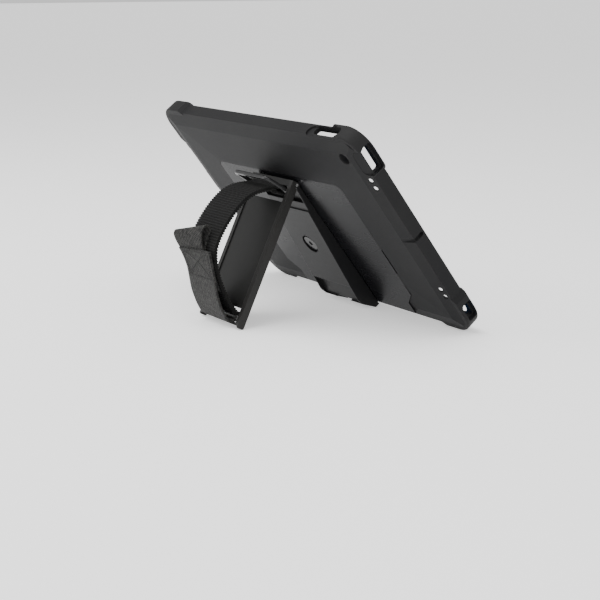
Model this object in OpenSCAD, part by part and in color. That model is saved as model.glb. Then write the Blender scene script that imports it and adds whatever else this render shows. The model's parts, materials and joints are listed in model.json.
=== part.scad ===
// Rugged tablet case with a swivelling kickstand and a hand strap.
// It stands in landscape on its open kickstand: +Z is up, the screen side faces -Y, the
// kickstand is on the +Y side, and the tablet's top short side is at -X.
// The case is drawn lying on its back (screen up, back face at z = 0) and then stood up.

/* [Tablet] */
// Length of the tablet the case fits
tablet_l = 250.6; // [240:0.1:310]
// Width of the tablet
tablet_w = 174.1; // [165:0.1:225]
// Thickness of the tablet
tablet_t = 7.5; // [6:0.1:9]
// Clearance around the tablet
tablet_gap = 0.5; // [0.3:0.1:1]

/* [Shell] */
// Wall thickness at the two long sides
side_wall = 4.5; // [3.5:0.1:7]
// Wall thickness at the two short sides
end_wall = 6.2; // [5:0.1:9]
// Outer radius of the shell's corners
corner_r = 16; // [12:0.5:20]
// How far the corner bumpers stand out of the walls
bumper_out = 2.5; // [1:0.1:4]
// Length of a bumper's straight leg past the corner
bumper_leg = 13; // [8:1:20]
// Height at which the sloped back meets the walls
edge_h = 3; // [2:0.1:4]
// Thickness of the shell's floor
floor_t = 2.4; // [2:0.1:3]
// Height of the shock pads over the floor
pad_h = 3.6; // [3:0.1:5]
// Thickness of the lip that holds the tablet in
lip_t = 1.2; // [0.8:0.1:2]
// How far the lip reaches over the tablet's edge
lip_over = 1.5; // [1:0.1:3]

/* [Back panel] */
// Length of the glossy back panel
panel_l = 168; // [155:1:180]
// Width of the back panel
panel_w = 132; // [126:1:136]
// Distance from the case's middle down to the panel's middle
panel_drop = 19.5; // [17:0.5:22]
// Thickness of the panel's edge
panel_t = 1.4; // [1:0.1:1.6]

/* [Inner plate] */
// Length of the plate inside the case
plate_l = 140; // [126:1:150]
// Width of the inner plate
plate_w = 92; // [84:1:100]
// Thickness of the plate's base
plate_t = 0.8; // [0.6:0.1:1.2]
// Side of the square information label
label_l = 57; // [40:1:64]
// Radius of the hub nut's flange
nut_flange_r = 8; // [7:0.5:10]

/* [Swivel base] */
// Width of the swivel base
base_w = 52; // [44:1:60]
// Height of the swivel base at the hinge
base_low_h = 4.4; // [4.2:0.1:5]
// Slope of the swivel base's top, in degrees
base_slope = 4.7; // [3.5:0.1:5.5]
// Radius of the recess round the hub
hub_recess_r = 8.2; // [7.5:0.1:10]
// Radius of the hub screw's shank
hub_r = 3; // [2.5:0.1:3.5]

/* [Kickstand] */
// Width of the kickstand
kick_w = 56; // [50:1:64]
// How far the hinge lies above the case's middle
hinge_up = 40.5; // [38:0.5:42]
// Opening angle between the kickstand and the back panel, in degrees
open_angle = 62.6; // [56:0.1:66]
// Lean of the case from the horizontal when it stands, in degrees
case_tilt = 52.8; // [48:0.1:58]
// Thickness of the kickstand's web
web_t = 1.6; // [1.4:0.1:2.2]
// Depth of the kickstand's side flanges
flange_d = 6; // [5:0.1:7]
// Radius of the hinge pin
hinge_pin_r = 1; // [0.8:0.1:1.2]
// Radius of the two strap pins
strap_pin_r = 1.5; // [1.2:0.1:1.8]

/* [Strap] */
// Width of the strap
strap_w = 39; // [32:1:42]
// Height of the strap's arch over the kickstand
strap_rise = 38; // [30:1:48]
// Thickness of the ribbed elastic band
elastic_t = 2.6; // [2:0.1:3.2]
// Thickness of the outer webbing
webbing_t = 1.8; // [1.4:0.1:2.4]
// Outward reach of the ring at the strap's top
ring_reach = 22; // [16:1:26]
// Thickness of the ring
ring_t = 3.2; // [2.6:0.1:4]

/* [Hidden] */
$fn = 64;

// Clearances: parts that only sit in each other, parts that move past each other, running fits
seat_gap = 0.1;
move_gap = 0.4;
run_gap = 0.06;
// Overshoot of a cutting shape past the face it cuts
past = 1;

// Case outline and heights, measured from the back face
bay_l = tablet_l + 2 * tablet_gap;
bay_w = tablet_w + 2 * tablet_gap;
case_l = bay_l + 2 * end_wall;
case_w = bay_w + 2 * side_wall;
bay_r = corner_r - side_wall;
tablet_z = floor_t + pad_h;
lip_z = tablet_z + tablet_t;
rim_z = lip_z + lip_t;
rim_round = 2;
edge_round = 1.2;
bumper_r = corner_r + bumper_out;
bumper_top = rim_z + 0.6;
// Length of the ramp at a bumper's end, and how deep a bumper is rooted in the wall
bumper_ramp = 5;
bumper_root = 3;

// Sloped bands of the back: a steeper one at the wall and a shallow one up to the panel
band_w = 12;
band_h = 0.9;
slope_h = edge_h + edge_round / 2;
// Thickness that the floor keeps where it rises along the sloped bands
sloped_floor_t = 1.6;

// Corner pads stand in pockets in the walls, and leave a round place free inside the corner
corner_pad_t = 2.2;
corner_pad_leg = 4;
corner_liner = 4.8;
corner_foot_w = 4;

// Openings in the walls: heights, lengths, and places measured from the tablet's edges
port_z = (tablet_z + lip_z) / 2;
port_h = 7.6;
port_r = 2.4;
port_flare = 2.4;
port_depth = end_wall + tablet_gap + 4;
power_port_l = 21;
power_port_from = 15.5;
// Flat scoop in the sloped back that leads a fingertip to the power button
scoop_reach = 8;
scoop_turn = 24;
jack_port_l = 14;
jack_port_from = 11.5;
mic_hole = [4.4, 2.8];
mic_from_middle = 49;
mic_step = 7.2;
lanyard_slot_w = 3.2;
lanyard_slot_h = 8.6;
lanyard_groove_r = 32;
speaker_port_l = 26;
speaker_from_middle = 38;
charge_port_l = 13;
volume_port_l = 27;
volume_from = 29;
camera_r = 4.6;
camera_from = [12, 11.5];

// Panel and plate outlines
panel_y = -panel_drop;
panel_chamfer = 4;
panel_foot_chamfer = 11;
plate_flange = 4;
groove_w = 5;
// Height of the slanted ribs over the shell's floor
rib_h = 2.6;
// A pad's foot is this much larger than its top
pad_foot = 1.06;
plate_top = floor_t + 1.8;
pad_x = plate_l / 2 - 4;
pad_y = plate_w / 2 - 5;
screw_r = 1.1;
screw_head_r = 2.2;
label_t = 0.2;

// Corner signs in the order of the corner nodes: jack, power, base low, base high
JACK = [-1, -1];
POWER = [-1, 1];
BASE_LOW = [1, -1];
BASE_HIGH = [1, 1];

// Hub and hinge
hub_y = panel_y;
base_foot_y = panel_y - panel_w / 2 - 2.5;
scoop_r = 13;
nose_r = (base_low_h - move_gap) / 2;
hinge_z = -(move_gap + nose_r);
// Step across the base's top below the hinge: where it starts and how deep it is
step_y = 24;
step_h = 0.8;
step_from_y = hinge_up - nose_r - 1.5;
crest_down = 112;
crest_y = hinge_up - crest_down;
crest_z = top_z(crest_y);
hub_floor_z = top_z(hub_y) + 2.9;
hub_head_r = hub_recess_r - 1.4;
thread_r = hub_r - 0.5;
washer_t = 0.5;
// Height of the swivel base's top face over a point: it is tangent to the hinge nose
function top_z(y) = hinge_z - nose_r / cos(base_slope) - (hinge_up - y) * tan(base_slope);

// Kickstand, drawn in its own frame: hinge axis along X through the origin, plate along -Y,
// outer face towards -Z
web_in = -(nose_r + move_gap);
web_out = web_in - web_t;
rim_out = web_out - 0.8;
flange_in = rim_out + flange_d;
flange_t = (kick_w - base_w) / 2 - move_gap;
bar_up = nose_r;
slot_hw = strap_w / 2 + 4.5;
top_slot = [3, 15.5];
foot_slot_l = 11;
foot_bar = 3.6;
foot_round = 1.5;
top_pin_y = -(top_slot[0] + strap_pin_r + webbing_t);
pin_z = (web_in + web_out) / 2;

// Lowest point of the standing case: the round lower edge of the bumpers
low_edge_y = -(case_w / 2 + bumper_out - edge_round);
low_edge_z = edge_h + edge_round;
stand_z = edge_round - (low_edge_y * sin(case_tilt) + low_edge_z * cos(case_tilt));
hinge_height = stand_z + hinge_up * sin(case_tilt) + hinge_z * cos(case_tilt);
kick_turn = case_tilt + open_angle;
// Angle the kickstand turns from open to folded
fold_angle = open_angle - base_slope;
// Depth the strap loops need under the kickstand's inner face
pin_drop = pin_z + strap_pin_r + elastic_t + move_gap;
// The kickstand is as long as it takes for its rounded foot to reach the ground
foot_mid_z = flange_in - foot_round;
kick_l = (hinge_height + foot_mid_z * cos(kick_turn) - foot_round) / sin(kick_turn) + foot_round;
foot_pin_y = -(kick_l - foot_bar - webbing_t - strap_pin_r - 0.2);
foot_slot = [kick_l - foot_bar - foot_slot_l, kick_l - foot_bar];

// Strap arch between the two pins
arch_mid = -(top_pin_y + foot_pin_y) / 2;
arch_half = (top_pin_y - foot_pin_y) / 2;
// Distance of the webbing's inner face from the arch's middle line: the hook patch lies between
webbing_in = elastic_t / 2 + 0.75;
tab_from = 0.02;
tab_to = 0.29;
tab_out = elastic_t / 2 + webbing_t + 11;
ring_lift = 6;
ring_eye_r = strap_pin_r + 1.5;
ring_hw = strap_w / 2 + 1;

// The standing frame is centred on the object's depth
front_y = -(case_w / 2 + bumper_out - rim_round) * cos(case_tilt)
    - (bumper_top - rim_round) * sin(case_tilt) - rim_round;
hinge_back = hinge_up * cos(case_tilt) - hinge_z * sin(case_tilt);
tab_tip = arch_point((tab_from + tab_to) / 2, tab_out);
back_y = hinge_back - tab_tip[0] * cos(kick_turn) + tab_tip[1] * sin(kick_turn);
stand_y = -(front_y + back_y) / 2;

// ---------------------------------------------------------------- frames

module standing() {
    translate([0, stand_y, stand_z]) rotate([case_tilt, 0, 0]) children();
}

module on_kickstand() {
    standing() translate([0, hinge_up, hinge_z]) rotate([open_angle, 0, 0]) children();
}

// ---------------------------------------------------------------- shared shapes

module rounded_rect(l, w, r) {
    square([l - 2 * r, w], center = true);
    square([l, w - 2 * r], center = true);
    for (sx = [-1, 1], sy = [-1, 1])
        translate([sx * (l / 2 - r), sy * (w / 2 - r)]) circle(r);
}

module chamfered_rect(l, w, c) {
    polygon([[-l / 2 + c, -w / 2], [l / 2 - c, -w / 2], [l / 2, -w / 2 + c], [l / 2, w / 2 - c],
             [l / 2 - c, w / 2], [-l / 2 + c, w / 2], [-l / 2, w / 2 - c], [-l / 2, -w / 2 + c]]);
}

// A profile drawn in x = distance from the corner centre, y = height, swept round the case
module sweep_case() {
    cx = case_l / 2 - corner_r;
    cy = case_w / 2 - corner_r;
    for (sx = [-1, 1], sy = [-1, 1])
        translate([sx * cx, sy * cy, 0])
            rotate([0, 0, sx > 0 ? (sy > 0 ? 0 : -90) : (sy > 0 ? 90 : 180)])
                rotate_extrude(angle = 90) children();
    for (s = [-1, 1]) {
        translate([s * cx, cy * s, 0]) rotate([90, 0, s > 0 ? 0 : 180])
            linear_extrude(2 * cy) children();
        translate([-s * cx, s * cy, 0]) rotate([90, 0, s > 0 ? 90 : -90])
            linear_extrude(2 * cx) children();
    }
}

// A slot with round ends, cut along Z
module slot_2d(l, w) {
    square([l - w, w], center = true);
    for (s = [-1, 1])
        translate([s * (l - w) / 2, 0]) circle(d = w);
}

// A shape cut along X into an end wall, centred at height z: its own x runs along the wall
module cut_end(side, y, z, depth) {
    translate([side * (case_l / 2 + bumper_out + past), y, z]) rotate([90, 0, -90 * side])
        linear_extrude(depth + bumper_out + past) children();
}

// An opening through an end wall, a little wider at the outside
module flared_opening(side, y, z, l, h) {
    cut_end(side, y, z, port_depth) rounded_rect(l, h, port_r);
    grow = port_flare / 2;
    cut_end(side, y, z + grow / 2, port_flare) rounded_rect(l + grow, h + grow, port_r);
}

// A slab that cuts everything under a plane rising towards one edge of the case
module back_slope(turn, reach, from_edge, low, high) {
    rise = atan((high - low) / from_edge);
    rotate([0, 0, turn]) translate([reach - from_edge, 0, low]) rotate([0, -rise, 0])
        translate([0, -case_l, -20]) cube([case_l, 2 * case_l, 20]);
}

// The four sloped sides of the back, or with a lift the rising edge of the floor inside
module sloped_sides(lift = 0) {
    for (turn = [0, 180]) {
        back_slope(turn, case_l / 2, band_w, band_h + lift, slope_h + lift);
        back_slope(turn, case_l / 2 - band_w, case_l / 2 - band_w - panel_l / 2, lift, band_h + lift);
    }
    for (turn = [90, 270]) {
        back_slope(turn, case_w / 2, band_w, band_h + lift, slope_h + lift);
        back_slope(turn, case_w / 2 - band_w, 30, lift, band_h + lift);
    }
}

// ---------------------------------------------------------------- bumper shell

module wall_profile() {
    square([corner_r - rim_round, rim_z]);
    square([corner_r - edge_round, rim_z - rim_round]);
    translate([0, edge_h + edge_round]) square([corner_r, rim_z - rim_round - edge_h - edge_round]);
    translate([corner_r - rim_round, rim_z - rim_round]) circle(rim_round);
    translate([corner_r - edge_round, edge_h + edge_round]) circle(edge_round);
}

module bumper_profile() {
    root = bumper_root + bumper_out;
    translate([corner_r - bumper_root, edge_h + 1]) square([root - rim_round, bumper_top - edge_h - 1]);
    translate([corner_r - bumper_root, edge_h]) square([root - edge_round, 4]);
    translate([corner_r - bumper_root, edge_h + edge_round])
        square([root, bumper_top - rim_round - edge_h - edge_round]);
    translate([bumper_r - rim_round, bumper_top - rim_round]) circle(rim_round);
    translate([bumper_r - edge_round, edge_h + edge_round]) circle(edge_round);
}

// One bumper leg along X, ramped down to the wall at its end
module bumper_leg_solid() {
    difference() {
        rotate([90, 0, 90]) linear_extrude(bumper_leg + bumper_ramp) bumper_profile();
        translate([bumper_leg, bumper_r, -past]) rotate([0, 0, atan(bumper_ramp / (bumper_out + 1))])
            translate([0, -2 * bumper_r, 0]) cube([2 * bumper_leg, 3 * bumper_r, 2 * rim_z]);
    }
}

module corner_bumper() {
    rotate_extrude(angle = 90) bumper_profile();
    mirror([1, 0, 0]) bumper_leg_solid();
    mirror([1, -1, 0]) mirror([1, 0, 0]) bumper_leg_solid();
}

// Each corner is the one at +X +Y, mirrored
module mirrored_to(corner) {
    mirror([corner[0] < 0 ? 1 : 0, 0, 0]) mirror([0, corner[1] < 0 ? 1 : 0, 0]) children();
}

// Plan of a corner pad: an L that wraps the corner and leaves the camera's place free
module corner_plan(gap) {
    reach = bay_r + corner_pad_t + gap;
    leg = corner_pad_leg + gap;
    difference() {
        union() {
            intersection() {
                circle(reach);
                square(reach + 1);
            }
            translate([-leg, 0]) square([leg, reach]);
            translate([0, -leg]) square([reach, leg]);
        }
        circle(bay_r - corner_foot_w - gap);
    }
}

// A corner pad, or with a gap the pocket that takes it: a foot under the tablet's corner and a
// liner in the wall, which stops short of the openings in the end wall. Both end at the floor.
module corner_pocket(gap) {
    difference() {
        translate([bay_l / 2 - bay_r, bay_w / 2 - bay_r, floor_t - gap]) {
            linear_extrude(pad_h - 0.4 + 2 * gap) corner_plan(gap);
            linear_extrude(lip_z - floor_t - 1 + 2 * gap)
                intersection() {
                    corner_plan(gap);
                    translate([-case_l, bay_r - corner_liner - gap]) square([2 * case_l, case_w]);
                }
        }
        sloped_sides(sloped_floor_t - gap);
    }
}

// Fan of slanted ribs on the floor between the inner plate and one wall
module rib_fan(count, inner_half, outer_half, from, to) {
    for (i = [0:count - 1]) {
        share = (i + 0.5) / count * 2 - 1;
        a = share * inner_half;
        b = share * outer_half;
        run = to - from;
        turn = atan((b - a) / run);
        translate([a, from, floor_t - 0.2]) rotate([0, 0, -turn]) rotate([-90, 0, 0])
            linear_extrude(run / cos(turn) + 3)
                polygon([[0, 0], [inner_half / count * 1.7, 0], [0, -rib_h - 0.2]]);
    }
}

module floor_ribs() {
    difference() {
        for (s = [0, 1]) {
            rotate([0, 0, 180 * s])
                rib_fan(12, plate_l / 2 - 8, bay_l / 2 - 18, plate_w / 2 + 1, bay_w / 2);
            rotate([0, 0, 90 + 180 * s])
                rib_fan(7, plate_w / 2 - 4, bay_w / 2 - 16, plate_l / 2 + 1, bay_l / 2);
        }
        for (corner = [JACK, POWER, BASE_LOW, BASE_HIGH])
            mirrored_to(corner) translate([pad_x, pad_y, floor_t])
                linear_extrude(pad_h) scale(pad_foot + 0.02) pad_outline();
        linear_extrude(tablet_z) rounded_rect(plate_l + 2 * move_gap, plate_w + 2 * move_gap, 6);
    }
}

module panel_outline(grow = 0) {
    x = panel_l / 2 + grow;
    y = panel_w / 2 + grow;
    c = panel_chamfer;
    f = panel_foot_chamfer;
    translate([0, panel_y])
        polygon([[-x + c, y], [x - c, y], [x, y - c], [x, -y + f * 2], [x - f, -y + f], [x - f, -y],
                 [-x + f, -y], [-x + f, -y + f], [-x, -y + f * 2], [-x, y - c]]);
}

// Openings in the end wall at the tablet's top: power button, headphone jack, two pairs of
// microphone holes and a narrow slot for a lanyard, which runs out in a groove on the back
module top_end_ports() {
    flared_opening(-1, tablet_w / 2 - power_port_from, port_z - 0.6, power_port_l, port_h);
    flared_opening(-1, -(tablet_w / 2 - jack_port_from), port_z - 0.6, jack_port_l, port_h);
    translate([-case_l / 2, tablet_w / 2 - power_port_from, port_z - 0.6 - port_h / 2])
        rotate([0, scoop_turn, 0]) translate([0, 0, -2 * scoop_reach]) linear_extrude(2 * scoop_reach)
            rounded_rect(2 * scoop_reach, power_port_l, 2 * port_r);
    for (s = [-1, 1], step = [0, 1])
        translate([-(case_l / 2 - 4), s * (mic_from_middle + mic_step * step), 1.6]) rotate([0, 50, 0])
            linear_extrude(14, center = true) rotate([0, 0, 90]) slot_2d(mic_hole[0], mic_hole[1]);
    cut_end(-1, 0, port_z - 1.5, port_depth) rotate([0, 0, 90]) slot_2d(lanyard_slot_h, lanyard_slot_w);
    translate([-(case_l / 2 + 2), 0, slope_h + 0.7 - lanyard_groove_r]) rotate([90, 0, 0])
        cylinder(r = lanyard_groove_r, h = lanyard_slot_w, center = true);
}

// Openings in the end wall at the tablet's foot: two speakers and the charging socket
module base_end_ports() {
    for (port = [[-speaker_from_middle, speaker_port_l], [0, charge_port_l],
                 [speaker_from_middle, speaker_port_l]]) {
        cut_end(1, port[0], port_z, port_depth) slot_2d(port[1] - 4, 4.6);
        translate([case_l / 2 - 2, port[0] - port[1] / 2, edge_h - 2])
            cube([10, port[1], port_z - edge_h + 4.8]);
    }
}

// Opening for the volume buttons in the long wall
module volume_port() {
    translate([-(tablet_l / 2 - volume_from), case_w / 2 + bumper_out + past, port_z - 0.6])
        rotate([90, 0, 0]) linear_extrude(side_wall + tablet_gap + bumper_out + 4)
            slot_2d(volume_port_l, port_h);
    translate([-(tablet_l / 2 - volume_from), case_w / 2 - 1.2, port_z - 2.5]) rotate([-90, 0, 0])
        linear_extrude(10) slot_2d(volume_port_l + 13, 9);
}

module at_camera() {
    translate([-(tablet_l / 2 - camera_from[0]), tablet_w / 2 - camera_from[1], 0]) children();
}

// The camera looks out through a round opening, flared outwards, with a wall round it inside
module camera_hole() {
    at_camera() translate([0, 0, -past]) {
        cylinder(r = camera_r, h = tablet_z + past);
        cylinder(r1 = camera_r + 2, r2 = camera_r, h = 2.2);
    }
}

module camera_wall() {
    at_camera() cylinder(r = camera_r + 1.3, h = tablet_z - 0.2);
}

module bumper_shell() {
    color([0.13, 0.13, 0.13]) standing()
        difference() {
            union() {
                difference() {
                    union() {
                        sweep_case() wall_profile();
                        linear_extrude(rim_z)
                            square([case_l, case_w] - [2, 2] * (corner_r - seat_gap), center = true);
                    }
                    sloped_sides();
                }
                for (corner = [JACK, POWER, BASE_LOW, BASE_HIGH])
                    mirrored_to(corner)
                        translate([case_l / 2 - corner_r, case_w / 2 - corner_r, 0]) corner_bumper();
            }
            difference() {
                translate([0, 0, floor_t]) linear_extrude(lip_z - floor_t)
                    rounded_rect(bay_l, bay_w, bay_r);
                floor_ribs();
                sloped_sides(sloped_floor_t);
                camera_wall();
            }
            translate([0, 0, lip_z - past]) linear_extrude(rim_z - lip_z + 3 * past)
                rounded_rect(tablet_l - 2 * lip_over, tablet_w - 2 * lip_over, bay_r - 2 * lip_over);
            for (corner = [JACK, POWER, BASE_LOW, BASE_HIGH])
                mirrored_to(corner) corner_pocket(seat_gap);
            translate([0, 0, -past]) linear_extrude(panel_t + past) panel_outline(seat_gap);
            translate([0, 0, -past]) linear_extrude(floor_t + 2 * past)
                square([plate_l - 2 * plate_flange, plate_w - 2 * plate_flange], center = true);
            translate([-panel_l / 2 - 1.6, panel_y - 21, -past]) cube([3, 24, past + 0.9]);
            top_end_ports();
            base_end_ports();
            volume_port();
            camera_hole();
        }
}

// ---------------------------------------------------------------- panels inside and outside

module panel_screw_places() {
    for (sx = [-1, 1], sy = [-1, 1])
        translate([sx * (pad_x - 4), sy * (pad_y - 4), 0]) children();
}

module back_panel() {
    color([0.09, 0.09, 0.09]) standing()
        difference() {
            union() {
                linear_extrude(panel_t) panel_outline();
                linear_extrude(floor_t)
                    square([plate_l, plate_w] - [2, 2] * (plate_flange + seat_gap), center = true);
            }
            translate([0, hub_y, -past]) cylinder(r = hub_r + 0.02, h = 0.4 + past);
            translate([0, hub_y, 0.4]) cylinder(r = hub_r + 1.02, h = floor_t);
            panel_screw_places() translate([0, 0, 0.8]) cylinder(r = screw_r + 0.02, h = floor_t);
        }
}

module inner_plate() {
    color([0.16, 0.16, 0.16]) standing()
        difference() {
            union() {
                translate([0, 0, floor_t + 0.02]) linear_extrude(plate_t) rounded_rect(plate_l, plate_w, 6);
                translate([0, 0, floor_t + plate_t]) linear_extrude(plate_top - floor_t - plate_t)
                    chamfered_rect(plate_l - 2 * groove_w - 5, plate_w - 2 * groove_w - 5, 20);
            }
            translate([0, hub_y, 0]) cylinder(r = nut_flange_r + 0.1, h = floor_t + 1.2);
            panel_screw_places() {
                cylinder(r = screw_r + 0.1, h = 10);
                translate([0, 0, floor_t + plate_t - 0.4]) cylinder(r = screw_head_r + 0.05, h = 10);
            }
        }
}

module info_label() {
    color([0.92, 0.92, 0.9]) standing()
        translate([0, 0, plate_top + 0.01 + label_t / 2])
            cube([label_l, label_l, label_t], center = true);
}

module plate_screws() {
    color([0.6, 0.6, 0.62]) standing() panel_screw_places() {
        translate([0, 0, 0.9]) cylinder(r = screw_r, h = floor_t + plate_t - 1);
        translate([0, 0, floor_t + plate_t - 0.35]) cylinder(r = screw_head_r, h = 0.35);
    }
}

// ---------------------------------------------------------------- blue pads

// A pad's outline: a rectangle whose four corners are cut off by different amounts
module pad_outline() {
    l = 33;
    w = 30;
    wide = 13;
    narrow = 8;
    side = 3.5;
    polygon([[-l / 2 + wide, -w / 2], [l / 2 - side, -w / 2], [l / 2, -w / 2 + side],
             [l / 2, w / 2 - narrow], [l / 2 - narrow, w / 2], [-l / 2 + side, w / 2],
             [-l / 2, w / 2 - side], [-l / 2, -w / 2 + wide]]);
}

module shock_pad(corner) {
    color([0.2, 0.55, 0.85]) standing()
        difference() {
            mirrored_to(corner) translate([pad_x, pad_y, floor_t + 0.05]) {
                linear_extrude(pad_h - 0.85) scale(pad_foot) pad_outline();
                linear_extrude(pad_h - 0.05) pad_outline();
            }
            linear_extrude(floor_t + plate_t + 0.07) rounded_rect(plate_l + 0.2, plate_w + 0.2, 6.1);
            linear_extrude(plate_top + 0.2)
                chamfered_rect(plate_l - 2 * groove_w - 4.8, plate_w - 2 * groove_w - 4.8, 19.9);
        }
}

module corner_pad(corner) {
    color([0.2, 0.55, 0.85]) standing() mirrored_to(corner)
        difference() {
            corner_pocket(-seat_gap);
            translate([0, 0, tablet_z - 0.05]) linear_extrude(tablet_t) rounded_rect(bay_l, bay_w, bay_r);
        }
}

// ---------------------------------------------------------------- hub

module hub_nut() {
    color([0.6, 0.6, 0.62]) standing() translate([0, hub_y, 0])
        difference() {
            union() {
                translate([0, 0, 0.42]) cylinder(r = hub_r + 1, h = floor_t);
                translate([0, 0, floor_t + 0.04]) cylinder(r = nut_flange_r, h = 1);
            }
            cylinder(r = thread_r + 0.02, h = 10);
        }
}

module hub_screw() {
    head_z = hub_floor_z - washer_t - 0.1;
    color([0.35, 0.35, 0.36]) standing() translate([0, hub_y, 0])
        difference() {
            union() {
                translate([0, 0, head_z]) cylinder(r = thread_r, h = floor_t + 0.72 - head_z);
                translate([0, 0, head_z]) cylinder(r = hub_r, h = 0.38 - head_z);
                translate([0, 0, head_z - 1.6]) cylinder(r = hub_head_r, h = 1.6);
            }
            translate([0, 0, head_z - 1.6 - past]) cylinder(r = 2.2, h = 1 + past, $fn = 6);
        }
}

module hub_washer() {
    color([0.7, 0.7, 0.72]) standing() translate([0, hub_y, hub_floor_z - washer_t - 0.06])
        difference() {
            cylinder(r = hub_head_r - 0.6, h = washer_t);
            translate([0, 0, -past]) cylinder(r = hub_r + 0.02, h = washer_t + 2 * past);
        }
}

// ---------------------------------------------------------------- swivel base

// Side view of the base: x along Y, y along Z
module base_side() {
    root = [hinge_up - nose_r / 4, hinge_z - nose_r / 2];
    polygon([[root[0], -move_gap], root, [step_from_y, root[1]],
             [step_from_y, top_z(step_from_y) + step_h],
             [hinge_up - step_y, top_z(hinge_up - step_y) + step_h],
             [hinge_up - step_y, top_z(hinge_up - step_y)], [crest_y, crest_z],
             [crest_y - 6, crest_z + 1.6], [base_foot_y, -base_low_h], [base_foot_y, -move_gap]]);
}

module swivel_base() {
    pocket_hw = slot_hw + 1;
    color([0.15, 0.15, 0.15]) standing()
        difference() {
            union() {
                rotate([90, 0, 90]) linear_extrude(base_w, center = true) base_side();
                translate([0, hinge_up, hinge_z]) rotate([0, 90, 0])
                    cylinder(r = nose_r, h = base_w - 2 * seat_gap, center = true);
            }
            translate([0, hinge_up, hinge_z]) rotate([0, 90, 0])
                cylinder(r = hinge_pin_r + run_gap, h = base_w + 2 * past, center = true);
            translate([0, hub_y, crest_z - 5]) cylinder(r = hub_recess_r, h = hub_floor_z - crest_z + 5);
            translate([0, hub_y, -10]) cylinder(r = hub_r + run_gap, h = 10);
            // Room for the strap's loops when the kickstand is folded flat
            translate([0, hinge_up, hinge_z]) rotate([open_angle - fold_angle, 0, 0]) {
                translate([-pocket_hw, -top_slot[1] - 1, web_in - 5])
                    cube([2 * pocket_hw, top_slot[1] + 1 - nose_r - 0.7, 5 - web_in + pin_drop]);
                translate([-pocket_hw, -kick_l - 3, web_in - 5])
                    cube([2 * pocket_hw, foot_slot_l + 8, 5 - web_in + pin_drop]);
            }
            // Finger scoop at the foot
            translate([0, base_foot_y, -base_low_h - 6]) rotate([-40, 0, 0])
                cylinder(r = scoop_r, h = 14, center = true);
        }
}

// ---------------------------------------------------------------- kickstand

module kick_side_profile() {
    translate([-kick_l + foot_round, rim_out]) square([kick_l - foot_round - top_slot[0], flange_d]);
    translate([-top_slot[0] - 1, rim_out]) square([top_slot[0] + 1 + bar_up, -rim_out]);
    circle(nose_r);
    for (z = [rim_out + foot_round, foot_mid_z])
        translate([-kick_l + foot_round, z]) circle(foot_round);
    translate([-kick_l, rim_out + foot_round]) square([foot_round, flange_d - 2 * foot_round]);
}

module kickstand_plate() {
    color([0.12, 0.12, 0.12]) on_kickstand()
        difference() {
            union() {
                for (s = [-1, 1])
                    translate([s * (kick_w - flange_t) / 2, 0, 0]) rotate([90, 0, 90])
                        linear_extrude(flange_t, center = true) kick_side_profile();
                translate([-kick_w / 2, -kick_l + foot_round, web_out])
                    cube([kick_w, kick_l - foot_round + bar_up, web_t]);
                for (s = [-1, 1])
                    translate([s * (kick_w - 4) / 2, (bar_up - kick_l) / 2, (rim_out + web_out) / 2])
                        cube([4, kick_l + bar_up - 2 * foot_round, web_out - rim_out + 0.2], center = true);
                translate([0, (bar_up - top_slot[0]) / 2, (rim_out + web_out) / 2])
                    cube([kick_w, bar_up + top_slot[0], web_out - rim_out + 0.2], center = true);
            }
            translate([-slot_hw, -top_slot[1], rim_out - past])
                cube([2 * slot_hw, top_slot[1] - top_slot[0], flange_d + 2 * past]);
            translate([-slot_hw, -foot_slot[1], rim_out - past])
                cube([2 * slot_hw, foot_slot[1] - foot_slot[0], flange_d + 2 * past]);
            for (y = [top_pin_y, foot_pin_y])
                translate([0, y, pin_z]) rotate([0, 90, 0])
                    cylinder(r = strap_pin_r * 0.5, h = 2 * slot_hw + 4, center = true);
            rotate([0, 90, 0]) cylinder(r = hinge_pin_r, h = kick_w + 2 * past, center = true);
        }
}

module hinge_pin() {
    color([0.7, 0.7, 0.72]) on_kickstand()
        rotate([0, 90, 0]) cylinder(r = hinge_pin_r, h = kick_w, center = true);
}

// A strap pin: its thinner ends sit in the kickstand's sides
module strap_pin(y) {
    color([0.75, 0.75, 0.77]) on_kickstand() translate([0, y, pin_z]) rotate([0, 90, 0]) {
        cylinder(r = strap_pin_r, h = 2 * slot_hw - 0.1, center = true);
        cylinder(r = strap_pin_r * 0.5 - 0.02, h = 2 * slot_hw + 3.8, center = true);
    }
}

module strap_pin_top() {
    strap_pin(top_pin_y);
}

module strap_pin_bottom() {
    strap_pin(foot_pin_y);
}

// ---------------------------------------------------------------- strap

// Height of the arch for u from -1 at the top pin to 1 at the foot pin
function arch_h(u) = strap_rise * (u < 0 ? sqrt(1 - u * u) : (sqrt(1 - u * u) + cos(90 * u)) / 2);
function arch_mid_point(u) = [arch_mid + arch_half * u, -pin_z + arch_h(u)];
// Point off the arch's middle line, as [distance from the hinge, outward distance]
function arch_point(u, off) =
    let (a = arch_mid_point(max(u - 0.01, -1)), b = arch_mid_point(min(u + 0.01, 1)), d = b - a)
    arch_mid_point(u) + off * [-d[1], d[0]] / norm(d);
// Even steps in angle, so that the steep ends get more points
function arch_steps(from, to, count) =
    let (a = acos(-from), b = acos(-to)) [for (i = [0:count]) -cos(a + (b - a) * i / count)];

// A band that follows the arch between two offsets
module arch_band(from, to, low, high, width, count = 40) {
    steps = arch_steps(from, to, count);
    rotate([90, 0, 90]) linear_extrude(width, center = true)
        polygon(concat([for (u = steps) let (p = arch_point(u, low)) [-p[0], -p[1]]],
                       [for (i = [count:-1:0]) let (p = arch_point(steps[i], high)) [-p[0], -p[1]]]));
}

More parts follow.
